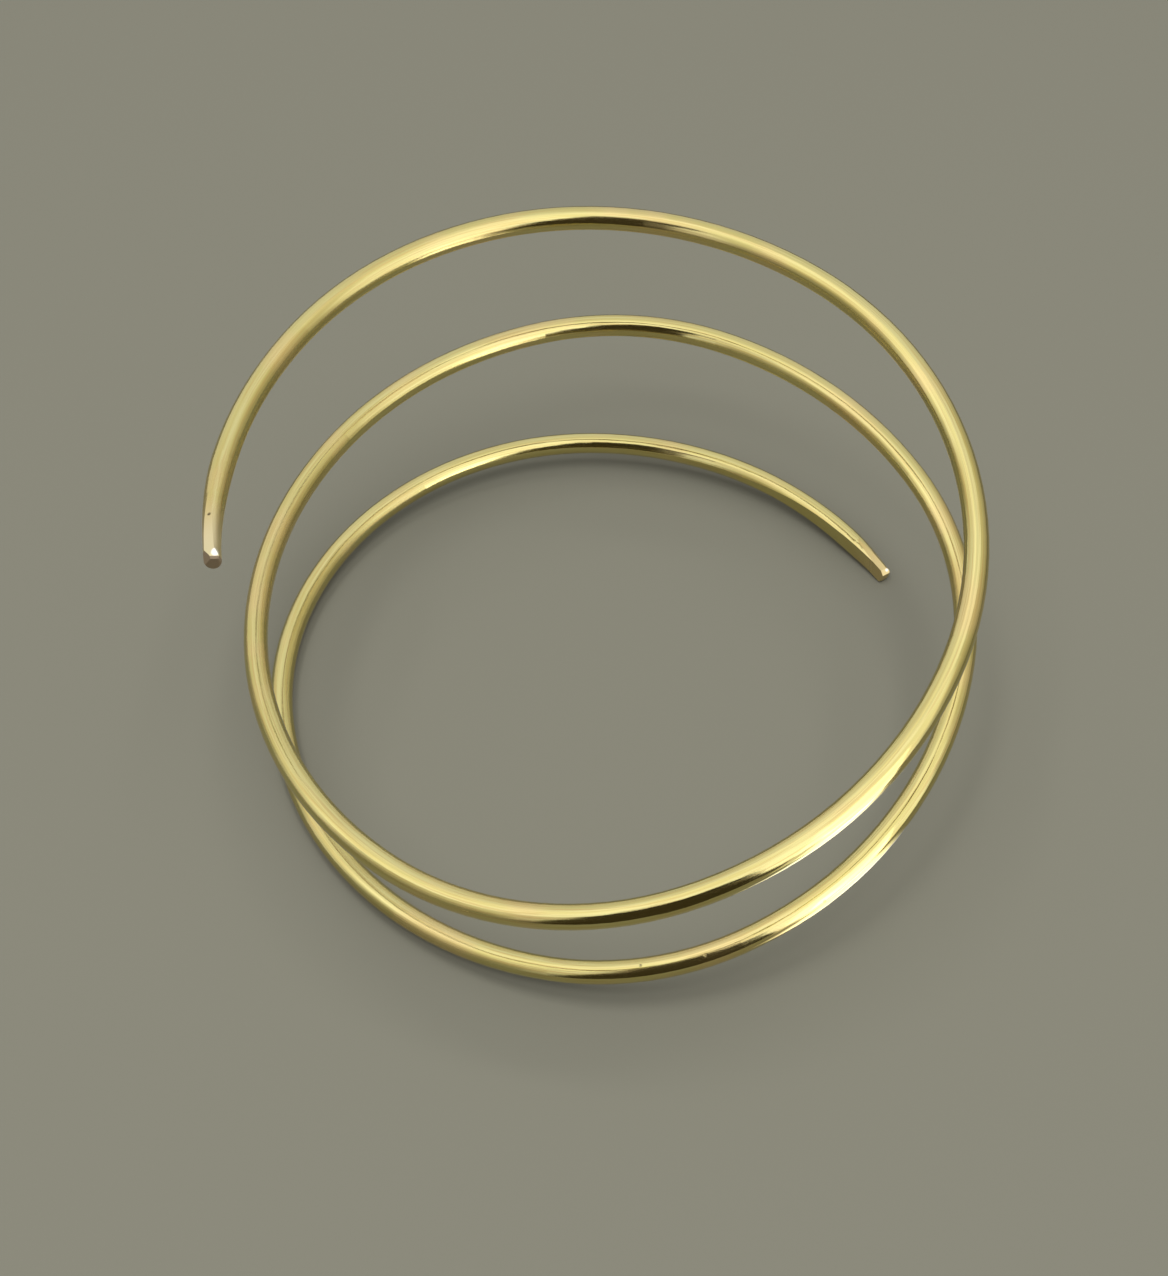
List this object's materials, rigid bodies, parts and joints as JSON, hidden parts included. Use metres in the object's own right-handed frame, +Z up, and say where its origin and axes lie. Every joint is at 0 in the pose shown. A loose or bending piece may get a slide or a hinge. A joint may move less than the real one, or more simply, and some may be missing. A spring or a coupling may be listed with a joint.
{
  "type": "spiral arm cuff",
  "caption": "Open spiral arm cuff: plain round polished brass wire wound into a wide loose coil, with free tapered and filed ends.",
  "frame": {"origin": "on the surface the cuff lies on, under the middle of its outline in plan", "axes": "+Z up from that surface; -Y towards the viewer of the picture, -X the side of the upper free end"},
  "size_m": [0.0963, 0.098, 0.0562],
  "materials": {
    "brass": "polished, with fine drawn lines along the wire"
  },
  "bodies": {
    "root": {"coil_wire": "brass"}
  },
  "joints": []
}
